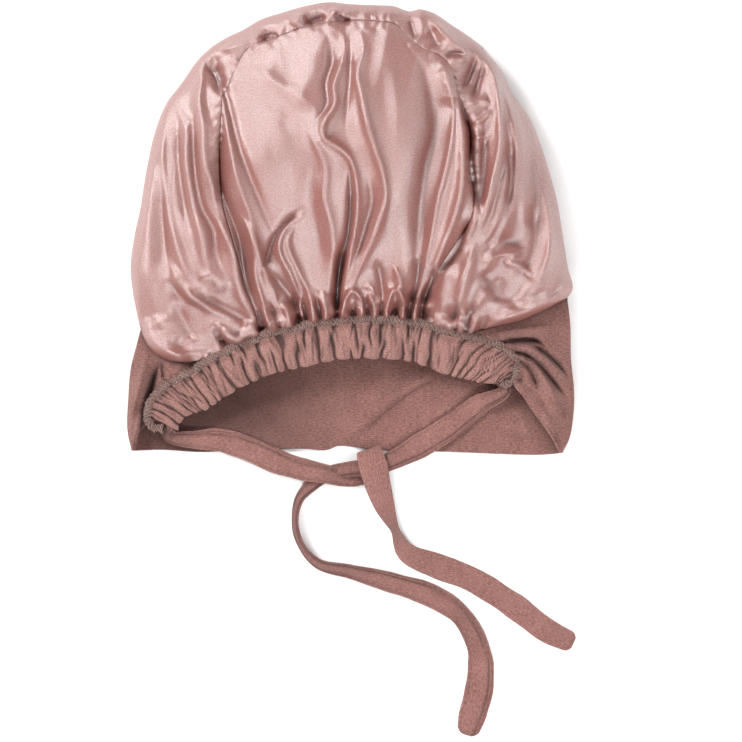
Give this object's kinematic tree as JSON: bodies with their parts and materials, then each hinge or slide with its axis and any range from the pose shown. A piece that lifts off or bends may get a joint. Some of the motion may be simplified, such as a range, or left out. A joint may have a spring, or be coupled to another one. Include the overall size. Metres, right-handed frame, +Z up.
{
  "type": "undercap",
  "caption": "Satin-lined jersey undercap lying flat, lining outside, with a gathered elastic casing at the nape and two flat ties crossed in a loose half knot.",
  "frame": {"origin": "on the underside, halfway across the cap and halfway from the front hem to the top of the crown, at the surface it lies on", "axes": "+Z up from the surface, +Y from the front hem towards the top of the crown, +X to the picture's right"},
  "size_m": [0.2596, 0.4214, 0.0498],
  "materials": {
    "satin": "glossy satin weave",
    "jersey": "matte fine knit",
    "thread": "matte overlocking thread over jersey"
  },
  "bodies": {
    "root": {"crown_back_panel": "satin", "crown_side_panel": "satin", "front_band": "jersey", "nape_casing": "jersey", "overlock_seam": "thread", "tie_left": "jersey", "tie_right": "jersey"}
  },
  "joints": []
}
